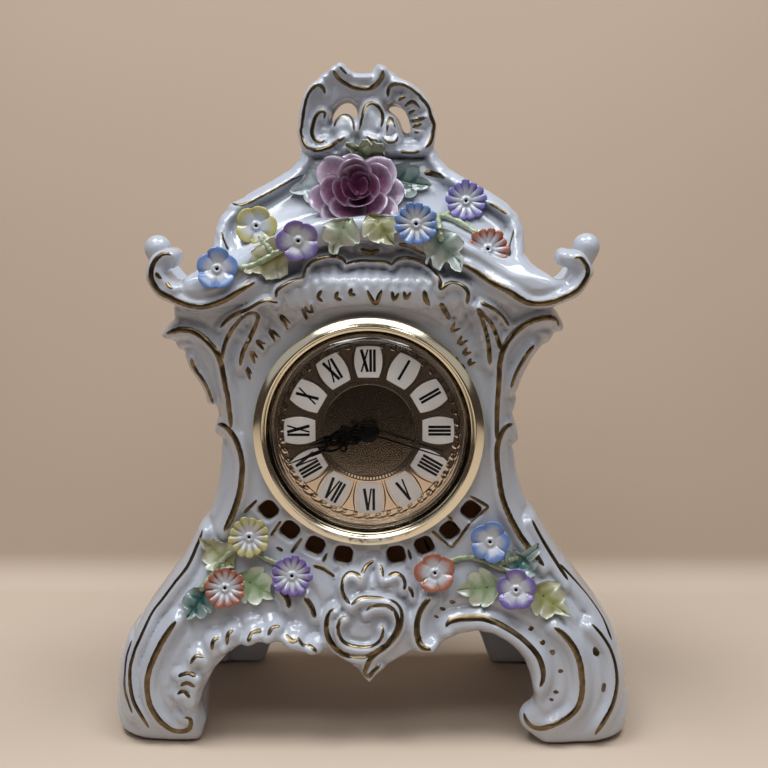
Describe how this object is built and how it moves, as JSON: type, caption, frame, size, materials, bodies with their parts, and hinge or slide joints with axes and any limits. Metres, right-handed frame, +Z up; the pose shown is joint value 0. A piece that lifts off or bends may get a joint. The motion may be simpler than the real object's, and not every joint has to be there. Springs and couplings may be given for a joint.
{
  "type": "porcelain mantel clock",
  "caption": "Rococo porcelain mantel clock with applied flowers, pierced crest and gallery, gilt scrolls and a round pull-out quartz insert with working hands and train.",
  "frame": {"origin": "on the floor plane under the middle of the bounding box", "axes": "+Z up, the dial faces -Y, +X to the viewer's right"},
  "size_m": [0.237, 0.1183, 0.3055],
  "materials": {
    "porcelain": "clear glazed white porcelain, faintly blue, with brown-gold hand gilding on the scrolls",
    "glaze_rose": "purple-pink glaze, paler at the petal rims",
    "glaze_blue": "blue glaze fading to white at the petal rims",
    "glaze_yellow": "pale yellow glaze",
    "glaze_violet": "violet glaze fading to white",
    "glaze_lilac": "pale lilac glaze",
    "glaze_orange": "orange-brown glaze fading to white",
    "glaze_green": "green, olive and teal leaf glazes with painted veins",
    "gilt_metal": "polished gilt pressing",
    "dial_gold": "mirror-bright gilt dial with stippled centre and white numeral plaques",
    "lens_glass": "clear polished raised lens",
    "band_rubber": "soft translucent band",
    "brass": "machined",
    "black_plastic": "moulded",
    "white_plastic": "moulded",
    "board": "solder-masked board",
    "steel": "bright plated",
    "copper_wire": "enamelled copper winding",
    "battery_wrap": "plain satin sleeve, no marks",
    "black_paint": "black lacquer"
  },
  "bodies": {
    "case": {"case_body": "porcelain", "flower_base_left_orange": "glaze_orange", "flower_base_left_violet": "glaze_violet", "flower_base_left_yellow": "glaze_yellow", "flower_base_right_blue": "glaze_blue", "flower_base_right_orange": "glaze_orange", "flower_base_right_violet": "glaze_violet", "flower_top_left_blue": "glaze_blue", "flower_top_left_violet": "glaze_violet", "flower_top_left_yellow": "glaze_yellow", "flower_top_right_blue": "glaze_blue", "flower_top_right_lilac": "glaze_lilac", "flower_top_right_orange": "glaze_orange", "leaf_base_left_high": "glaze_green", "leaf_base_left_low": "glaze_green", "leaf_base_left_mid": "glaze_green", "leaf_base_right_high": "glaze_green", "leaf_base_right_low": "glaze_green", "leaf_base_right_mid": "glaze_green", "leaf_rose_left": "glaze_green", "leaf_rose_low_left": "glaze_green", "leaf_rose_low_right": "glaze_green", "leaf_rose_right": "glaze_green", "leaf_rose_top": "glaze_green", "leaf_top_left": "glaze_green", "leaf_top_right": "glaze_green", "rose": "glaze_rose", "stem_base_left": "glaze_green", "stem_base_right": "glaze_green", "stem_top_left": "glaze_green", "stem_top_right": "glaze_green"},
    "insert": {"bezel": "gilt_metal", "lens": "lens_glass", "dial_plate": "dial_gold", "insert_cup": "gilt_metal", "gasket": "band_rubber", "dial_nut": "brass", "movement_case": "black_plastic", "movement_back_cover": "white_plastic", "circuit_board": "board", "quartz_crystal": "steel", "stator": "steel", "coil": "copper_wire", "contact_positive": "steel", "contact_negative": "steel"},
    "hour_hand": {"hour_hand": "black_paint", "hour_wheel": "white_plastic"},
    "minute_hand": {"minute_hand": "black_paint", "centre_wheel": "brass"},
    "second_hand": {"second_hand": "black_paint", "seconds_wheel": "white_plastic"},
    "minute_wheel": {"minute_wheel": "white_plastic", "set_knob": "black_plastic"},
    "third_wheel": {"third_wheel": "white_plastic"},
    "intermediate_wheel": {"intermediate_wheel": "white_plastic"},
    "rotor": {"rotor": "steel"},
    "battery": {"battery": "battery_wrap"}
  },
  "joints": [
    {"name": "insert_pull", "type": "slide", "parent": "case", "child": "insert", "axis": [0, -1, 0], "range_m": [0, 0.06]},
    {"name": "minute_hand_turn", "type": "hinge", "parent": "insert", "child": "minute_hand", "pos_m": [0, 0, 0.1423], "axis": [0, 1, 0], "continuous": true},
    {"name": "hour_hand_turn", "type": "hinge", "parent": "insert", "child": "hour_hand", "pos_m": [0, 0, 0.1423], "axis": [0, 1, 0], "continuous": true},
    {"name": "second_hand_turn", "type": "hinge", "parent": "insert", "child": "second_hand", "pos_m": [0, 0, 0.1423], "axis": [0, 1, 0], "continuous": true},
    {"name": "set_knob_turn", "type": "hinge", "parent": "insert", "child": "minute_wheel", "pos_m": [0.00526, 0, 0.15219], "axis": [0, 1, 0], "continuous": true},
    {"name": "third_wheel_turn", "type": "hinge", "parent": "insert", "child": "third_wheel", "pos_m": [-0.01043, 0, 0.1451], "axis": [0, 1, 0], "continuous": true},
    {"name": "intermediate_wheel_turn", "type": "hinge", "parent": "insert", "child": "intermediate_wheel", "pos_m": [0.00696, 0, 0.14416], "axis": [0, 1, 0], "continuous": true},
    {"name": "rotor_turn", "type": "hinge", "parent": "insert", "child": "rotor", "pos_m": [0.01386, 0, 0.14668], "axis": [0, 1, 0], "continuous": true},
    {"name": "battery_slide", "type": "slide", "parent": "insert", "child": "battery", "axis": [0, 1, 0], "range_m": [0, 0.085]}
  ],
  "couplings": [
    {"joint": "hour_hand_turn", "follows": "minute_hand_turn", "ratio": 0.083333},
    {"joint": "second_hand_turn", "follows": "minute_hand_turn", "ratio": 60},
    {"joint": "set_knob_turn", "follows": "minute_hand_turn", "ratio": -0.33333},
    {"joint": "third_wheel_turn", "follows": "minute_hand_turn", "ratio": -8},
    {"joint": "intermediate_wheel_turn", "follows": "minute_hand_turn", "ratio": -300},
    {"joint": "rotor_turn", "follows": "minute_hand_turn", "ratio": 1800}
  ]
}
